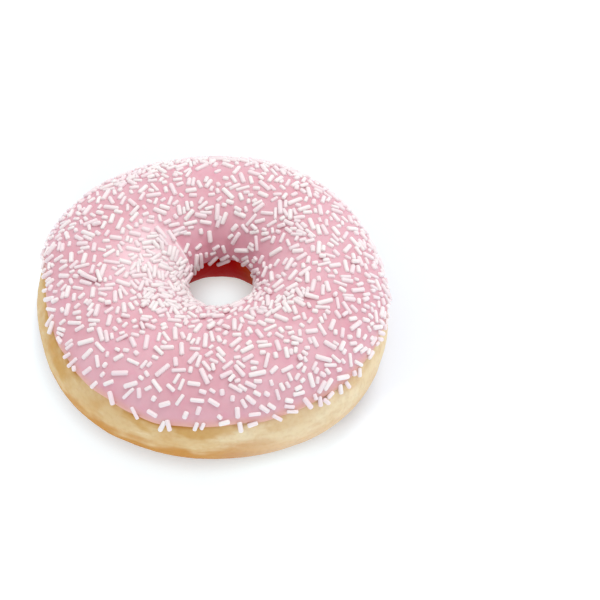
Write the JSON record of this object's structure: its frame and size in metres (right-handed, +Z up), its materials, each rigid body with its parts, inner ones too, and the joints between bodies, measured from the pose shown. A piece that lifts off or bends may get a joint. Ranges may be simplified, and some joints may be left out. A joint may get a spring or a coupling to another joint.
{
  "type": "sprinkle frosted doughnut",
  "caption": "Whole ring doughnut: risen fried dough with a pale waistband, smooth pink icing over its upper half and short white sugar sprinkles set in it. Rests on its flat base.",
  "frame": {"origin": "under the middle of the ring, on the surface that the doughnut lies on", "axes": "+Z up out of the iced side; the shown view looks along +Y and down, with +X to the right"},
  "size_m": [0.0899, 0.088, 0.0357],
  "materials": {
    "dough": "matte fried dough, golden brown with a paler waistband",
    "icing": "smooth satin sugar icing, soft pink",
    "sprinkles": "matte white sugar sprinkles"
  },
  "bodies": {
    "root": {"dough_ring": "dough", "icing_with_sprinkles": "icing"}
  },
  "joints": []
}
